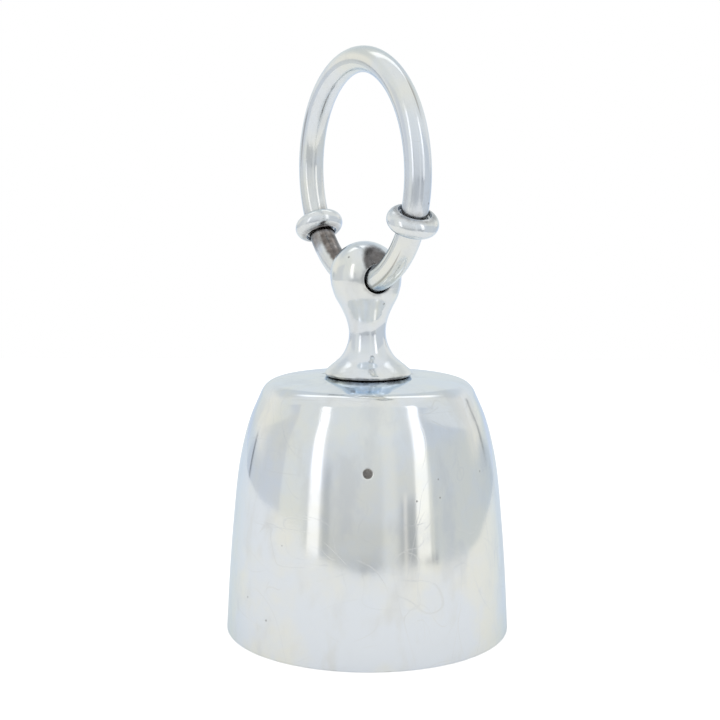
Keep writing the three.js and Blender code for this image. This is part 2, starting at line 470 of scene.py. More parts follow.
def tarnish_and_shade_share(graph, where, small_pits, patina):
    """Where the dark colour hides the metal: at the stored tarnishing and painted shade, in tarnished
    patches and in the pits.
    """
    tarnish_and_shade = graph.attribute("tarnish_and_shade")
    ragged = graph.times(graph.add(graph.noise(where, 700, 4.0, 0.65), -0.5), 0.65)
    dark = graph.ramp(graph.add(tarnish_and_shade, ragged), 0.12, 0.95)
    dark = graph.times(dark, graph.ramp(tarnish_and_shade, 0.0, 0.08))
    if patina:
        patches = graph.ramp(graph.noise(where, 190, 5.0, 0.65), 0.45, 0.72, 0.0, patina)
        dark = graph.most(dark, patches)
    return graph.most(dark, graph.times(small_pits, 0.6))


def mottled_tarnish_and_shade(graph, where, tarnish_and_shade_colour):
    # The colour of tarnished metal and of painted shade alike, paler and deeper in clouds.
    cloud = graph.ramp(graph.noise(where, 420, 3.0, 0.6), 0.38, 0.62)
    return graph.mix(cloud, tinted(tarnish_and_shade_colour, DEEP), tinted(tarnish_and_shade_colour, PALE))


def polished_colour(graph, where, colour, smears, scratches):
    """The metal's own colour in warm and cool clouds, dimmer in smears and scratches."""
    warm, cool, dim = (tinted(colour, factors) for factors in (WARM, COOL, DIM))
    clouds = graph.noise(where, 55, 4.0, 0.6)
    base = graph.mix(graph.ramp(clouds, 0.36, 0.62), warm, cool)
    base = graph.mix(graph.ramp(smears, 0.48, 0.72, 0.0, 0.8), base, dim)
    return graph.mix(graph.times(scratches, 0.6), base, dim)


def bumps(graph, where, height, dents):
    """The normal for fine marks of the given height on top of broad swells, dents millimetres high."""
    fine_inputs = {"Height": height, "Strength": 0.35, "Distance": 0.01 * MM}
    fine = graph.node("ShaderNodeBump", fine_inputs)
    broad_inputs = {
        "Height": graph.noise(where, 60, 2.0, 0.45),
        "Strength": 1.0,
        "Distance": dents * MM,
        "Normal": fine.outputs[0],
    }
    return graph.node("ShaderNodeBump", broad_inputs).outputs[0]


def metal(name, colour, tarnish_and_shade_colour, roughness, haze=0.05, dents=0.05, patina=0, drawn=0, edge=None, dull=0.3):
    """Hand-polished metal with scratches, pits, tarnishing and painted shade.

    haze and dull are the roughness that smears and the tarnishing with its painted shade add, patina is the
    strength of tarnished patches, drawn that of the drawing lines along a wire, and edge the tint of grazing
    reflections.
    """
    material = bpy.data.materials.new(name)
    material.use_nodes = True
    graph = Graph(material.node_tree)
    where = graph.node("ShaderNodeTexCoord").outputs["Object"]
    scratches = fine_scratches(graph, where)
    small_pits = pits(graph, where)
    smears = graph.noise(graph.mapped(where, scale=(1, 1, 0.45)), 170, 3.0, 0.6)
    dark = tarnish_and_shade_share(graph, where, small_pits, patina)

    base = polished_colour(graph, where, colour, smears, scratches)
    # Tarnished metal and painted shade, where the stored mask, the patches and the pits say.
    base = graph.mix(dark, base, mottled_tarnish_and_shade(graph, where, tarnish_and_shade_colour))
    rough = graph.ramp(smears, 0.35, 0.75, roughness, roughness + haze)
    rough = graph.add(rough, graph.times(scratches, 0.10))
    rough = graph.add(rough, graph.times(dark, dull))
    height = graph.add(graph.times(scratches, -0.6), graph.times(small_pits, -1.0))
    if drawn:
        grain = graph.attribute("grain", "Vector")
        streaks = graph.noise(grain, 2600, 2.0, 0.6)
        height = graph.add(height, graph.times(streaks, drawn))
        rough = graph.add(rough, graph.ramp(streaks, 0.4, 0.7, 0.0, 0.08))
        seams = graph.ramp(graph.noise(grain, 900, 1.0, 0.5), 0.68, 0.74, 0.0, 0.45)
        base = graph.mix(seams, base, tarnish_and_shade_colour)

    normal = bumps(graph, where, height, dents)
    shader_inputs = {"Base Color": base, "Metallic": 1.0, "Roughness": rough, "Normal": normal}
    if edge:
        shader_inputs["Specular Tint"] = (*edge, 1)
    shader = graph.node("ShaderNodeBsdfPrincipled", shader_inputs)
    graph.node("ShaderNodeOutputMaterial", {"Surface": shader.outputs[0]})
    return material


SILVER = (0.90, 0.912, 0.918)
SILVER_EDGE = (0.82, 0.905, 1.0)
# Dark colours of tarnished metal that also serve as painted shade; the knob's and the shank's serve too as
# painted reflections of dark parts nearby.
SILVER_TARNISH_AND_SHADE = (0.17, 0.155, 0.145)
PATINA_AND_SHADE_BROWN = (0.24, 0.21, 0.19)
KNOB_TARNISH_AND_SHADE_GREY = (0.15, 0.14, 0.138)
SHANK_TARNISH_AND_SHADE_BROWN = (0.27, 0.235, 0.215)
STEEL = (0.52, 0.51, 0.49)
STEEL_TARNISH = (0.10, 0.08, 0.065)
BRASS = (0.62, 0.47, 0.22)
BRASS_TARNISH = (0.13, 0.09, 0.05)


def place_piece(piece, body, slot, material, *nodes):
    """Gives a finished piece its material and body, and hides the CAD nodes that it stands for. The slot is
    not used.
    """
    piece.data.materials.clear()
    piece.data.materials.append(material)
    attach(piece, body)
    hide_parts(*nodes)


# ======== bell ========


def bell_outline():
    side = smooth(WALL_CURVE, steps=14)
    shoulder = bend(WALL_CURVE[-1], SHOULDER_CORNER, CROWN_EDGE, steps=18)[1:]
    crown = line(CROWN_EDGE, (SEAT_RADIUS, SEAT_HEIGHT), steps=8)
    outside = [*side, *shoulder, *crown]
    inside = inset(outside, WALL)[::-1]
    inner_seat = SEAT_HEIGHT - WALL
    inner_middle = (RIM_RADIUS - WALL + RIM_INNER_ROUND, RIM_INNER_ROUND)
    inner_round = arc(inner_middle, RIM_INNER_ROUND, math.pi, 1.5 * math.pi, steps=4)
    outer_round = arc((RIM_RADIUS - RIM_ROUND, RIM_ROUND), RIM_ROUND, -QUARTER_TURN, 0, steps=5)
    return [
        *inner_round,
        *outer_round[:-1],
        *outside,
        (CROWN_HOLE_RADIUS, SEAT_HEIGHT),
        (CROWN_HOLE_RADIUS, inner_seat),
        (SEAT_RADIUS, inner_seat),
        *inside[1:-1],
    ]


def dimple_place():
    """A frame on the bell's outside where the camera looks, with Z outwards."""
    wall = smooth(WALL_CURVE, steps=40)
    radius = next(radius for radius, height in wall if height >= DIMPLE_HEIGHT)
    outward = TO_CAMERA * math.cos(DIMPLE_LEAN) + UP * math.sin(DIMPLE_LEAN)
    turn = outward.to_track_quat("Z", "Y").to_matrix().to_4x4()
    return Matrix.Translation(TO_CAMERA * radius + UP * DIMPLE_HEIGHT) @ turn


def punch_dimple(body):
    """Cuts a shallow bowl out of the bell's side."""
    sweep = 2 * math.atan(DIMPLE_DEPTH / DIMPLE_RADIUS)
    bowl_radius = DIMPLE_RADIUS / math.sin(sweep)
    centre = (0, bowl_radius - DIMPLE_DEPTH)
    past_the_edge = sweep * 1.15 - QUARTER_TURN
    bowl = arc(centre, bowl_radius, -QUARTER_TURN, past_the_edge, steps=8)
    bowl[0] = (0, -DIMPLE_DEPTH)
    outline = [*bowl, (bowl[-1][0], BEYOND), (0, BEYOND)]
    cut(body, lathe("punch", outline, segments=48, closed=False, place=dimple_place()))


def faces_inside(point, normal):
    """True on the inner face of the shell."""
    outward = Vector((point.x, point.y, 0)).normalized().dot(normal)
    return outward < -0.2 or (normal.z < -0.5 and point.z > SEAT_HEIGHT - 2 * WALL)


def foot_line_tarnish_and_shade(point, normal):
    """The uneven dark line on the crown against the foot: tarnished metal there, darkened further by painted
    shade of the crevice.
    """
    if normal.z <= 0.8:
        return 0
    turn = math.atan2(point.y, point.x)
    lumps = 0.62 + 0.2 * math.sin(5 * turn + 1) + 0.18 * math.sin(13 * turn + 2)
    reach = 0.55 + 0.3 * lumps
    return lumps * bell_curve(math.hypot(point.x, point.y), FOOT_RADIUS - 0.1, reach)


def make_bell():
    to_dimple = dimple_place().inverted()

    def tarnish_and_shade(point, normal):
        # Darker inside the shell, more so towards the crown.
        if faces_inside(point, normal):
            return 0.40 + 0.2 * between(point.z, 25, 52)
        # Painted shade in the punch mark.
        spot = to_dimple @ point
        from_punch = math.hypot(spot.x, spot.y)
        depth = between(from_punch, DIMPLE_RADIUS * 1.05, DIMPLE_RADIUS * 0.8) if abs(spot.z) < 0.5 else 0
        # A little darker along the rim's lowest edge.
        rim = bell_curve(point.z, 0, 0.3)
        return max(foot_line_tarnish_and_shade(point, normal), 0.25 * rim, 0.85 * depth)

    body = lathe("bell_shell", bell_outline())
    punch_dimple(body)
    store_tarnish_and_shade(body, tarnish_and_shade)
    silver = metal("bell_silver", SILVER, SILVER_TARNISH_AND_SHADE, 0.09, haze=0.04, edge=SILVER_EDGE)
    place_piece(body, "bell", "polished_silver", silver, "bell_body")


# ======== knob and stem ========

HINGE = Matrix.Translation((0, CROSS_HOLE_SHIFT, CROSS_HOLE_HEIGHT)) @ Matrix.Rotation(RING_LEAN, 4, "X")
RING_PLACE = HINGE @ Matrix.Translation((0, 0, RING_CENTRE - CROSS_HOLE_HEIGHT))
RING_BACK = RING_PLACE.inverted()


def lean(piece):
    """Bends the stem towards -Y in proportion to the height above the foot."""
    for vertex in piece.data.vertices:
        above = max(0.0, vertex.co.z / MM - LEAN_START)
        vertex.co.y += LEAN_SLOPE * above * MM


def cross_hole():
    """The cutter for the cross hole: soft at both mouths and wider in the middle of the knob."""
    mouth = math.sqrt(KNOB_RADIUS**2 - CROSS_HOLE_RADIUS**2)
    start = mouth - CROSS_HOLE_ROUND
    centre = (CROSS_HOLE_RADIUS + CROSS_HOLE_ROUND, start)
    flare = arc(centre, CROSS_HOLE_ROUND, math.pi, 0.62 * math.pi, steps=6)
    reach = KNOB_RADIUS + 2 * BEYOND
    outer = [
        (HOLLOW_RADIUS, HOLLOW_HALF_LENGTH),
        (CROSS_HOLE_RADIUS, HOLLOW_HALF_LENGTH + HOLLOW_TAPER),
        *flare,
        (CROSS_HOLE_RADIUS + 2 * CROSS_HOLE_ROUND, reach),
        (0, reach),
    ]
    lower = [(radius, -height) for radius, height in reversed(outer)]
    place = Matrix.Translation((0, CROSS_HOLE_SHIFT, CROSS_HOLE_HEIGHT))
    place = place @ Matrix.Rotation(QUARTER_TURN, 4, "Y")
    return lathe("cross_hole", [*lower, *outer], segments=96, closed=False, place=place)


def knob_tarnish_and_shade(point, normal):
    """Darkening in the hole, beside the wire and round the foot, partly tarnished metal: painted shade in
    the hollow, round the mouths and under the foot, and beside the wire a painted reflection of the wire's
    dark side.
    """
    across = point.y - CROSS_HOLE_SHIFT
    from_hole = math.hypot(across, point.z - CROSS_HOLE_HEIGHT)
    outside = abs(point.x) > HOLLOW_HALF_LENGTH + 0.4
    # Painted shade in the hollow in the knob's middle.
    if not outside and from_hole < HOLLOW_RADIUS + 0.05:
        return 0.6
    if from_hole < CROSS_HOLE_RADIUS + 0.02:
        return 0.1
    # A ring of tarnished metal and painted shade round each mouth of the hole.
    round_hole = 0.45 * bell_curve(from_hole, CROSS_HOLE_RADIUS + 0.1, 0.6) if outside else 0
    # Beside the wire above the hole, a painted reflection of its dark side.
    spot = RING_BACK @ point
    from_wire = math.hypot(math.hypot(spot.x, spot.z) - RING_RADIUS, spot.y) - WIRE_RADIUS
    reach = 0.4 + 0.85 * (point.z - CROSS_HOLE_HEIGHT - 1.7)
    beside = between(from_wire - reach, 0.45, -0.45) if outside or point.z > KNOB_CENTRE else 0
    beside *= between(point.z, CROSS_HOLE_HEIGHT + 0.9, CROSS_HOLE_HEIGHT + 1.8)
    turn = math.atan2(point.y, point.x)
    lumps = 0.6 + 0.25 * math.sin(7 * turn) + 0.15 * math.sin(17 * turn + 1)
    # Painted shade under the foot over tarnished metal, with a wavy upper edge.
    under = 0.65 * between(point.z, SEAT_HEIGHT + 0.5 + 1.1 * lumps, SEAT_HEIGHT + 0.3)
    return max(round_hole, 0.9 * beside, under)


def knob_outline():
    ball = arc((0, KNOB_CENTRE), KNOB_RADIUS, math.radians(-6), QUARTER_TURN, steps=60)
    ball[-1] = (0, KNOB_CENTRE + KNOB_RADIUS)
    foot_corner = (FOOT_EDGE[0], SEAT_HEIGHT + 0.05)
    return [
        (0, SEAT_HEIGHT),
        *line((0, SEAT_HEIGHT), (FOOT_SEAT_RADIUS, SEAT_HEIGHT), steps=4),
        *bend((FOOT_SEAT_RADIUS, SEAT_HEIGHT), foot_corner, FOOT_EDGE, steps=4)[1:],
        *smooth(STEM_CURVE, steps=10),
        *ball[1:],
    ]


def make_knob():
    knob = lathe("knob_and_stem", knob_outline(), closed=False)
    lean(knob)
    cut(knob, cross_hole())
    low = SEAT_HEIGHT - BEYOND
    bore = [(0, low), (STEM_BORE_RADIUS, low), (STEM_BORE_RADIUS, STEM_BORE_TOP), (0, STEM_BORE_TOP)]
    cut(knob, lathe("bore", bore, segments=48, closed=False))
    store_tarnish_and_shade(knob, knob_tarnish_and_shade)
    silver = metal("knob_silver", SILVER, KNOB_TARNISH_AND_SHADE_GREY, 0.11, haze=0.1, edge=SILVER_EDGE, dull=0.1)
    place_piece(knob, "bell", "polished_silver", silver, "knob_stem")


# ======== ring handle ========

RIGHT_COLLAR = RING_TURN - COLLAR_ANGLE
LEFT_COLLAR = RING_TURN + math.pi + COLLAR_ANGLE
# Where the wire goes into the knob, as angles round the ring.
KNOB_LEFT = math.radians(252)
KNOB_RIGHT = math.radians(287.5)


def ring_angle(point):
    """The angle of a point round the ring, from 0 to a full turn."""
    spot = RING_BACK @ point
    return math.atan2(spot.z, spot.x) % FULL_TURN


def near_collars(angle, width):
    """1 at both collars, falling off away from them."""
    left = bell_curve(angle, LEFT_COLLAR, width)
    return max(left, bell_curve(angle, RIGHT_COLLAR % FULL_TURN, width))


def wire_tarnish_and_shade(point, normal):
    """Darkening against the collars, tarnished metal there with painted shade at the joins, and more painted
    shade on the +Y side by the left one.
    """
    angle = ring_angle(point)
    inner_left = bell_curve(angle, LEFT_COLLAR, 0.17) * between(normal.y, -0.5, 0.1)
    return max(0.75 * near_collars(angle, 0.13), 0.3 * near_collars(angle, 0.3), 0.95 * inner_left)


def shank_tarnish_and_shade(point, normal):
    """Strong darkening on the left stretch, most on its +Y side, where a painted reflection of the dark knob
    and body lies over tarnished metal, and blots of tarnishing and painted shade where the wire meets the
    knob.
    """
    angle = ring_angle(point)
    knob = bell_curve(angle, KNOB_LEFT, 0.07)
    knob = max(knob, 0.6 * bell_curve(angle, KNOB_RIGHT, 0.03))
    left_side = between(angle, math.radians(266), math.radians(250)) * between(normal.y, -0.93, -0.6)
    by_left_collar = between(angle, LEFT_COLLAR + 0.36, LEFT_COLLAR + 0.22)
    return max(0.7 * near_collars(angle, 0.06), 0.7 * by_left_collar, 0.8 * knob, 0.88 * left_side)


def collar_outline():
    """A round bead with a dished recess at each mouth, round the wire."""
    core = COLLAR_RADIUS - COLLAR_ROUND
    mouth = core + COLLAR_ROUND * math.cos(COLLAR_MOUTH)
    floor = COLLAR_ROUND - COLLAR_RECESS
    lip = COLLAR_ROUND - COLLAR_LIP_DEPTH
    wall_radius = mouth - COLLAR_LIP_WIDTH
    bead = arc((core, 0), COLLAR_ROUND, -COLLAR_MOUTH, COLLAR_MOUTH, steps=40)
    floor_edge = (wall_radius - COLLAR_FLOOR_WIDTH, floor)
    dish = bend(floor_edge, (wall_radius, floor), (wall_radius, lip), steps=6)
    dish_low = [(radius, -height) for radius, height in dish]
    return [(COLLAR_BORE_RADIUS, -floor), *dish_low, *bead, *dish[::-1], (COLLAR_BORE_RADIUS, floor)]


def make_collar(name, node, angle):
    spot = Matrix.Translation((RING_RADIUS * math.cos(angle), 0, RING_RADIUS * math.sin(angle)))
    place = RING_PLACE @ spot @ Matrix.Rotation(-angle, 4, "Y")
    back = place.inverted()
    mouth = COLLAR_RADIUS - COLLAR_ROUND

    def tarnish_and_shade(point, normal):
        # Painted shade in the dished mouths and round them, over tarnished metal.
        local = back @ point
        radius = math.hypot(local.x, local.y)
        in_mouth = 0.45 * between(radius, mouth + 0.35, mouth)
        return max(in_mouth, 0.5 * bell_curve(radius, mouth + 0.6, 0.9))

    collar = lathe(name, collar_outline(), segments=128, place=place)
    store_tarnish_and_shade(collar, tarnish_and_shade)
    looks = {"haze": 0.12, "dents": 0.09, "edge": SILVER_EDGE, "dull": 0.2}
    silver = metal(f"{name}_silver", SILVER, PATINA_AND_SHADE_BROWN, 0.12, **looks)
    place_piece(collar, "ring_handle", "polished_silver", silver, node)


def make_ring():
    half_gap = JOINT_GAP / 2 / RING_RADIUS
    sizes = (RING_RADIUS, WIRE_RADIUS, RING_PLACE)
    bow_ends = (RIGHT_COLLAR + half_gap, LEFT_COLLAR - half_gap)
    bow = tube("bow_wire", *sizes, *bow_ends, steps=240, sides=56)
    store_tarnish_and_shade(bow, wire_tarnish_and_shade)
    store_grain(bow, RING_PLACE, RING_RADIUS)
    looks = {"haze": 0.08, "drawn": 0.8, "edge": SILVER_EDGE}
    silver = metal("ring_silver", SILVER, PATINA_AND_SHADE_BROWN, 0.12, dull=0.12, **looks)
    place_piece(bow, "ring_handle", "polished_silver", silver, "ring_bow")
    shank_ends = (LEFT_COLLAR + half_gap, RIGHT_COLLAR + FULL_TURN - half_gap)
    shank = tube("shank_wire", *sizes, *shank_ends, steps=160, sides=56)
    store_tarnish_and_shade(shank, shank_tarnish_and_shade)
    store_grain(shank, RING_PLACE, RING_RADIUS)
    tarnished_and_shaded_shank = metal("shank_silver", SILVER, SHANK_TARNISH_AND_SHADE_BROWN, 0.11, dull=0.05, **looks)
    place_piece(shank, "ring_handle", "polished_silver", tarnished_and_shaded_shank, "ring_shank")
    make_collar("right_bead", "collar_right", RIGHT_COLLAR)
    make_collar("left_bead", "collar_left", LEFT_COLLAR)


# ======== fixing inside the crown ========

WASHER_TOP = SEAT_HEIGHT - WALL - FIT_GAP
WASHER_LOW = WASHER_TOP - WASHER_THICKNESS
NUT_TOP = WASHER_LOW - FIT_GAP
NUT_LOW = NUT_TOP - NUT_HEIGHT
NUT_CORNER = NUT_ACROSS_FLATS / math.sqrt(3)


def thread(low, high, radius):
    """A rod's side with its screw thread drawn as close ridges."""
    outline = []
    for turn in range(int((high - low) / THREAD_PITCH)):
        start = low + turn * THREAD_PITCH
        crest = [(radius, start + THREAD_PITCH * share) for share in THREAD_CREST]
        outline += [(radius - THREAD_DEPTH, start), *crest]
    return outline


def make_washer(material):
    core = WASHER_RADIUS - WASHER_ROUND
    outline = [
        (CROWN_HOLE_RADIUS, WASHER_LOW),
        *arc((core, WASHER_LOW + WASHER_ROUND), WASHER_ROUND, -QUARTER_TURN, 0, steps=4),
        *arc((core, WASHER_TOP - WASHER_ROUND), WASHER_ROUND, 0, QUARTER_TURN, steps=4),
        (CROWN_HOLE_RADIUS, WASHER_TOP),
    ]
    washer = lathe("washer_disc", outline, segments=96)
    # A little dark mixed in all over, more in a ring 3 mm from the axis.
    store_tarnish_and_shade(washer, lambda point, normal: 0.3 + 0.5 * bell_curve(point.xy.length, 3.0, 0.4))
    place_piece(washer, "bell", "fixing_steel", material, "crown_washer")


def hexagonal_block(name, corner, low, high):
    turns = [FULL_TURN * side / NUT_SIDES for side in range(NUT_SIDES)]
    spots = [(corner * math.cos(turn), corner * math.sin(turn)) for turn in turns]
    vertices = [(*spot, height) for height in (low, high) for spot in spots]
    faces = [tuple(range(NUT_SIDES)), tuple(range(NUT_SIDES, 2 * NUT_SIDES))]
    for here in range(NUT_SIDES):
        after = (here + 1) % NUT_SIDES
        faces.append((here, after, after + NUT_SIDES, here + NUT_SIDES))
    return make(name, vertices, faces)


def make_nut(material):
    """A hexagon nut with its corners turned off and a chamfered hole."""
    nut = hexagonal_block("hex_nut", NUT_CORNER, NUT_LOW, NUT_TOP)
    slope = (NUT_CORNER - NUT_TURNED) * math.tan(NUT_TURNED_SLOPE)
    hole = BOLT_RADIUS + THREAD_GAP
    turned = [
        (hole, NUT_LOW + NUT_CHAMFER),
        (hole + NUT_CHAMFER, NUT_LOW),
        (NUT_TURNED, NUT_LOW),
        (NUT_CORNER, NUT_LOW + slope),
        (NUT_CORNER, NUT_TOP - slope),
        (NUT_TURNED, NUT_TOP),
        (hole + NUT_CHAMFER, NUT_TOP),
        (hole, NUT_TOP - NUT_CHAMFER),
    ]
    cut(nut, lathe("nut_turning", turned, segments=96), "INTERSECT")
    # A little dark mixed in all over, more towards the hole.
    store_tarnish_and_shade(nut, lambda point, normal: 0.35 + 0.4 * between(point.xy.length, 2.3, 1.6))
    place_piece(nut, "bell", "fixing_steel", material, "crown_nut")


def make_eye_bolt(material):
    place = Matrix.Translation(UP * EYE_CENTRE)
    eye = tube("eye_and_stud", EYE_RADIUS, EYE_WIRE, place, steps=72, sides=28)
    foot = EYE_CENTRE + EYE_RADIUS - WELD_DEPTH
    plain = foot + BOLT_PLAIN_LENGTH
    outline = [
        (0, foot),
        (BOLT_PLAIN_RADIUS - BOLT_CHAMFER, foot),
        (BOLT_PLAIN_RADIUS, foot + BOLT_CHAMFER),
        (BOLT_PLAIN_RADIUS, plain),
        *thread(plain + 0.1, BOLT_TOP - BOLT_CHAMFER, BOLT_RADIUS),
        (BOLT_PLAIN_RADIUS - BOLT_CHAMFER, BOLT_TOP),
        (0, BOLT_TOP),
    ]
    cut(eye, lathe("stud", outline, segments=48, closed=False), "UNION")
    # A little dark mixed in all over, more round the foot of the stud.
    store_tarnish_and_shade(eye, lambda point, normal: 0.3 + 0.4 * bell_curve(point.z, foot, 0.5))
    place_piece(eye, "bell", "fixing_steel", material, "eye_bolt")


# ======== clapper ========

LINK_TOP = EYE_CENTRE - EYE_RADIUS + EYE_WIRE + LINK_WIRE + HANG_GAP
LINK_BOTTOM = LINK_TOP - 2 * LINK_RADIUS
ROD_EYE_CENTRE = LINK_BOTTOM + LINK_WIRE + ROD_EYE_WIRE + HANG_GAP - ROD_EYE_RADIUS
BALL_BOTTOM = BALL_CENTRE - BALL_RADIUS
BALL_TOP = BALL_CENTRE + BALL_RADIUS
RIVET_LOW = BALL_BOTTOM + RIVET_RECESS
RIVET_TOP = RIVET_LOW + RIVET_HEIGHT


def make_link(material):
    place = Matrix.Translation(UP * (LINK_TOP - LINK_RADIUS)) @ Matrix.Rotation(QUARTER_TURN, 4, "Z")
    link = tube("wire_link", LINK_RADIUS, LINK_WIRE, place, steps=84, sides=28)
    # A little dark mixed in all over, more at the top where it hangs.
    store_tarnish_and_shade(link, lambda point, normal: 0.25 + 0.5 * bell_curve(point.z, LINK_TOP, 0.9))
    place_piece(link, "link", "fixing_steel", material, "clapper_link")


def make_rod(material):
    """The eye and the shaft, riveted over in the ball's underside."""
    place = Matrix.Translation(UP * ROD_EYE_CENTRE)
    rod = tube("eye_rod", ROD_EYE_RADIUS, ROD_EYE_WIRE, place, steps=72, sides=28)
    rod_top = ROD_EYE_CENTRE - ROD_EYE_RADIUS + WELD_DEPTH
    dome_edge = (RIVET_RADIUS, RIVET_TOP - WELD_DEPTH)
    shaft = [
        *bend((0, RIVET_LOW), (RIVET_RADIUS, RIVET_LOW), dome_edge, steps=10),
        (RIVET_RADIUS, RIVET_TOP),
        (ROD_RADIUS, RIVET_TOP),
        (ROD_RADIUS, rod_top),
        (0, rod_top),
    ]
    cut(rod, lathe("shaft", shaft, segments=48, closed=False), "UNION")
    # A little dark mixed in all over, more where it meets the ball's top.
    store_tarnish_and_shade(rod, lambda point, normal: 0.2 + 0.45 * bell_curve(point.z, BALL_TOP, 0.8))
    place_piece(rod, "clapper", "clapper_brass", material, "clapper_rod")


def make_ball(material):
    """The ball, drilled for the shaft, with a wider seat for the rivet below."""
    outline = arc((0, BALL_CENTRE), BALL_RADIUS, -QUARTER_TURN, QUARTER_TURN, steps=64)
    outline[0] = (0, BALL_BOTTOM)
    outline[-1] = (0, BALL_TOP)
    ball = lathe("striker_ball", outline, segments=128, closed=False)
    low = BALL_BOTTOM - BEYOND
    high = BALL_TOP + BEYOND
    seat_top = RIVET_TOP + FIT_GAP
    seat_radius = RIVET_RADIUS + RIVET_GAP
    drill = [
        (0, low),
        (seat_radius, low),
        (seat_radius, seat_top),
        (BALL_BORE_RADIUS, seat_top),
        (BALL_BORE_RADIUS, high),
        (0, high),
    ]
    cut(ball, lathe("drill", drill, segments=64, closed=False))
    # A little dark mixed in all over, more towards the drilled hole.
    store_tarnish_and_shade(ball, lambda point, normal: 0.15 + 0.6 * between(point.xy.length, 2.6, 1.4))
    place_piece(ball, "clapper", "clapper_brass", material, "clapper_ball")


# ======== studio ========

# Directions from the bell, in degrees: swing goes from the camera (0) towards the view's right (90)
# or left (-90), and rise is the height above level.
LEFT_LAMP = (-51.2, -40.6)
RIGHT_LAMP = (41.4, 53.6)

# The tent's colours. Those of the lamps are brighter than white.
TENT_LOW = (0.50, 0.525, 0.545)
TENT_MIDDLE = (0.645, 0.67, 0.69)
TENT_HIGH = (0.735, 0.77, 0.785)
TENT_BY_LAMP = (0.80, 0.82, 0.815)
TENT_SIDE = (0.74, 0.765, 0.76)
LEFT_PANEL = (0.64, 0.67, 0.70)
RIGHT_PANEL = (0.605, 0.645, 0.68)
BACK_LOW = (0.85, 0.84, 0.80)
BACK_HIGH = (0.66, 0.69, 0.70)
BACK_FOOT = (0.75, 0.79, 0.87)
CEILING = (0.79, 0.81, 0.81)
CEILING_LAMP = (1.2, 1.22, 1.22)
LEFT_FRAME = (0.42, 0.45, 0.48)
RIGHT_FRAME = (0.32, 0.35, 0.40)
SLIT = (0.85, 0.85, 0.85)
LEFT_LAMP_FOOT = (1.08, 1.09, 1.1)
RIGHT_LAMP_FOOT = (1.03, 1.045, 1.045)
LAMP = (1.3, 1.3, 1.31)
LAMP_DUST = (0.97, 0.97, 0.98)
RIGHT_CLUTTER = (0.12, 0.13, 0.18)
FRONT_CLUTTER = (0.12, 0.13, 0.16)
PANEL_EDGE = (0.15, 0.16, 0.18)
WHITE = (1.0, 1.0, 1.0)


class Tent(Graph):
    """The surroundings, painted by direction and fixed in space. Each paint lies over those before."""

    def __init__(self, tree):
        super().__init__(tree)
        self.direction = self.node("ShaderNodeTexCoord").outputs["Generated"]
        ahead, right, up = (self.along(axis) for axis in (TO_CAMERA, TO_RIGHT, UP))
        self.swing = self.in_degrees(self.calculate("ARCTAN2", right, ahead))
        self.rise = self.in_degrees(self.calculate("ARCSINE", up))
        self.over = self.in_degrees(self.calculate("ARCTAN2", up, ahead))
        self.spread = self.calculate("ABSOLUTE", self.swing)
        self.aside = self.calculate("ABSOLUTE", right)
        self.tone = TENT_LOW

    def along(self, axis):
        inputs = {0: self.direction, 1: axis}
        return self.node("ShaderNodeVectorMath", inputs, operation="DOT_PRODUCT").outputs["Value"]

    def in_degrees(self, value):
        return self.times(value, math.degrees(1))

    def patch(self, swing, across, upright):
        """1 inside a patch that is given as (low, high, soft) in swing and in rise."""
        return self.times(self.band(swing, *across), self.band(self.rise, *upright))

    def paint(self, share, colour, strength=1.0):
        """Lays a colour over the tone so far."""
        self.tone = self.mix(self.times(share, strength), self.tone, colour)


def paint_front_and_sides(tent):
    """Grey low down and paler upwards, with brighter sides."""
    tent.paint(tent.ramp(tent.rise, -8, -2), TENT_MIDDLE)
    tent.paint(tent.ramp(tent.rise, -2, 34), TENT_HIGH)
    tent.paint(tent.band(tent.swing, 13, 25, 3), TENT_BY_LAMP, 0.5)
    tent.paint(tent.ramp(tent.spread, 49, 58), TENT_SIDE)


def paint_panels(tent):
    """A large slanting panel to each side, darker and bluer."""
    left_top = tent.add(tent.rise, tent.times(tent.swing, -0.58))
    left = tent.times(tent.band(tent.swing, -137, -80, 1.2), tent.ramp(left_top, 76, 78, 1.0, 0.0))
    tent.paint(left, LEFT_PANEL)
    right_top = tent.add(tent.rise, tent.times(tent.swing, 0.46))
    right = tent.times(tent.band(tent.swing, 57, 144, 1.2), tent.ramp(right_top, 60.5, 62.5, 1.0, 0.0))
    tent.paint(right, RIGHT_PANEL)


def paint_back(tent):
    """Behind the bell: white low down, grey high up, and bluish below the table's level."""
    behind = tent.ramp(tent.spread, 100, 125)
    tent.paint(tent.times(behind, tent.ramp(tent.rise, -1, 4)), BACK_LOW)
    tent.paint(tent.times(behind, tent.ramp(tent.rise, 18, 34)), BACK_HIGH)
    tent.paint(tent.times(tent.ramp(tent.spread, 140, 150), tent.ramp(tent.rise, 2, -4)), BACK_FOOT)


def paint_ceiling(tent):
    """The pale ceiling and the long lamp in it, a little behind the bell."""
    tent.paint(tent.times(tent.band(tent.over, 50, 108, 8), tent.ramp(tent.aside, 0.7, 0.5)), CEILING)
    lamp = tent.times(tent.band(tent.over, 111, 124, 2), tent.ramp(tent.aside, 0.62, 0.4))
    tent.paint(lamp, CEILING_LAMP)


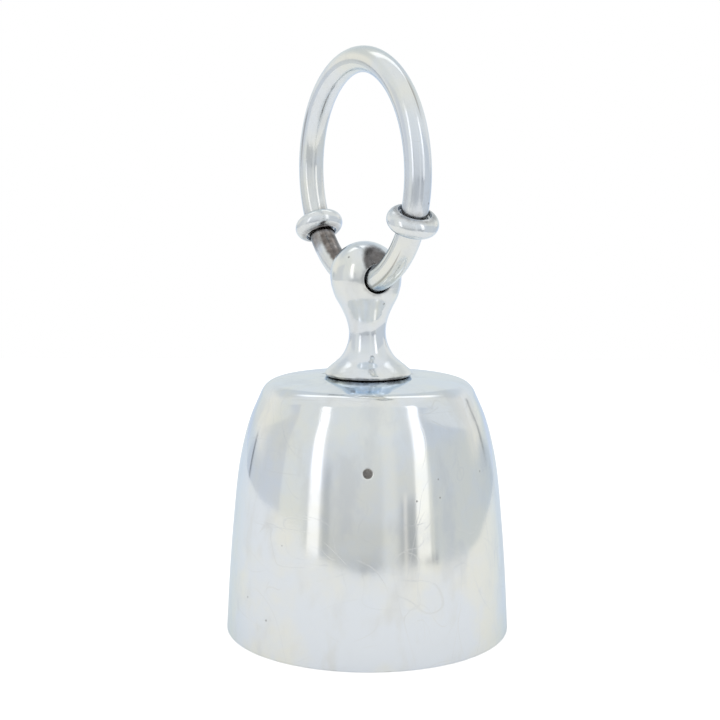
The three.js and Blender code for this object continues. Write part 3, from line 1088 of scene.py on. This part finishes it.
def paint_lamps(tent):
    """Two tall lamps, their upper ends leaning outwards, each with a dark frame on its inner side."""
    spill = tent.ramp(tent.rise, -2, 45, 0.0, 5.0)
    left_swing = tent.add(tent.swing, tent.times(spill, 0.6))
    right_swing = tent.add(tent.swing, tent.times(spill, -1.0))
    tent.paint(tent.patch(left_swing, (-40, -32, 1.5), (-9, 12, 5)), LEFT_FRAME, 0.6)
    tent.paint(tent.patch(right_swing, (28, 41, 2.5), (-9, 1, 3)), RIGHT_FRAME, 0.6)
    tent.paint(tent.patch(right_swing, (30.5, 33.5, 0.8), (-7, 3, 1.5)), SLIT, 0.7)
    left_glow = tent.mix(tent.ramp(tent.rise, -6, 12), LEFT_LAMP_FOOT, LAMP)
    tent.paint(tent.patch(left_swing, (*LEFT_LAMP, 0.5), (-6.2, 38, 0.8)), left_glow)
    right_glow = tent.mix(tent.ramp(tent.rise, 6, 24), RIGHT_LAMP_FOOT, LAMP)
    tent.paint(tent.patch(right_swing, (*RIGHT_LAMP, 0.5), (-7.2, 44, 0.8)), right_glow)
    speckle = tent.ramp(tent.noise(tent.direction, 70, 3.0, 0.7), 0.35, 0.65)
    dusty = tent.patch(left_swing, (-40.4, -37.5, 0.5), (-6, 30, 2))
    tent.paint(tent.times(dusty, speckle), LAMP_DUST, 0.6)


def paint_dark_things(tent):
    """Dark things along the table's front edge, and the thin dark outer edges of the two panels."""
    blots = tent.ramp(tent.noise(tent.direction, 40, 2.0, 0.6), 0.38, 0.5)
    clutter = tent.patch(tent.swing, (30, 60, 2), (-8, -6.6, 0.2))
    tent.paint(tent.times(clutter, blots), RIGHT_CLUTTER, 0.85)
    tent.paint(tent.patch(tent.swing, (-6, 9, 2), (-8, -6.7, 0.2)), FRONT_CLUTTER, 0.7)
    left_edge = tent.patch(tent.swing, (-128, -125.5, 0.6), (-5, 3, 1.5))
    right_edge = tent.patch(tent.swing, (129, 131.5, 0.6), (-2, 12, 3))
    tent.paint(tent.most(left_edge, right_edge), PANEL_EDGE, 0.9)


def make_tent():
    """The world: white to the camera, and the painted tent in every reflection."""
    world = bpy.data.worlds.new("studio_tent")
    bpy.context.scene.world = world
    world.use_nodes = True
    tent = Tent(world.node_tree)
    paint_front_and_sides(tent)
    paint_panels(tent)
    paint_back(tent)
    paint_ceiling(tent)
    paint_lamps(tent)
    paint_dark_things(tent)
    tent.paint(tent.node("ShaderNodeLightPath").outputs["Is Camera Ray"], WHITE)
    light = tent.node("ShaderNodeBackground", {"Color": tent.tone, "Strength": 1.0})
    tent.node("ShaderNodeOutputWorld", {"Surface": light.outputs[0]})


# The table's outline as (to the right, towards the camera), in millimetres from the bell's axis.
TABLE_OUTLINE = [
    (166, -420), (168, -130), (170, -30), (162, 40), (149, 100), (129, 152), (114, 177), (86, 191),
    (50, 194), (0, 189), (-50, 193), (-110, 203), (-160, 200), (-200, 178), (-250, 158), (-305, 112),
    (-338, 45), (-330, -60), (-330, -420),
]
# Slight waves along the edge, each as (height, length, start).
EDGE_WAVES = ((2.2, 11, 0), (1.4, 4.3, 1))
TABLE_DROP = 0.05
TABLE_COLOUR = (0.80, 0.79, 0.775)
TABLE_GLOW = 0.2
TABLE_GLOW_SEEN = 0.6


def make_floor():
    """A pale table with a slightly uneven front edge."""
    vertices = []
    for side, ahead in smooth(TABLE_OUTLINE, steps=12):
        wave = sum(height * math.sin(side / length + start) for height, length, start in EDGE_WAVES)
        vertices.append((TO_RIGHT * side + TO_CAMERA * (ahead + wave)) * MM)
    mesh = bpy.data.meshes.new("table_top")
    mesh.from_pydata(vertices, [], [tuple(range(len(vertices)))])
    floor = bpy.data.objects.new("table_top", mesh)
    floor.location.z = -TABLE_DROP * MM
    bpy.context.scene.collection.objects.link(floor)
    material = bpy.data.materials.new("table_white")
    material.use_nodes = True
    graph = Graph(material.node_tree)
    plain = graph.node("ShaderNodeBsdfDiffuse", {"Color": (*TABLE_COLOUR, 1)})
    seen = graph.node("ShaderNodeLightPath").outputs["Is Camera Ray"]
    strength = graph.ramp(seen, 0.0, 1.0, TABLE_GLOW, TABLE_GLOW_SEEN)
    glow = graph.node("ShaderNodeEmission", {"Color": (*WHITE, 1), "Strength": strength})
    both = graph.node("ShaderNodeAddShader", {0: plain.outputs[0], 1: glow.outputs[0]})
    graph.node("ShaderNodeOutputMaterial", {"Surface": both.outputs[0]})
    mesh.materials.append(material)


def make_camera():
    data = bpy.data.cameras.new("camera")
    data.lens = LENS
    data.sensor_width = SENSOR
    data.clip_start = 0.01
    data.clip_end = 20
    camera = bpy.data.objects.new("camera", data)
    camera.location = (TO_CAMERA * VIEW_DISTANCE + UP * VIEW_HEIGHT) * MM
    ahead = -TO_CAMERA * math.cos(VIEW_YAW) - TO_RIGHT * math.sin(VIEW_YAW)
    look = ahead * math.cos(VIEW_PITCH) - UP * math.sin(VIEW_PITCH)
    facing = look.to_track_quat("-Z", "Y").to_matrix().to_4x4()
    camera.rotation_euler = (facing @ Matrix.Rotation(VIEW_ROLL, 4, "Z")).to_euler()
    bpy.context.scene.collection.objects.link(camera)
    bpy.context.scene.camera = camera


bpy.context.scene.view_settings.view_transform = "Standard"
make_camera()
make_tent()
make_floor()

make_bell()
make_knob()
make_ring()
steel_metal = metal("aged_steel", STEEL, STEEL_TARNISH, 0.25, patina=0.45)
brass_metal = metal("aged_brass", BRASS, BRASS_TARNISH, 0.2, patina=0.4)
make_washer(steel_metal)
make_nut(steel_metal)
make_eye_bolt(steel_metal)
make_link(steel_metal)
make_rod(brass_metal)
make_ball(brass_metal)
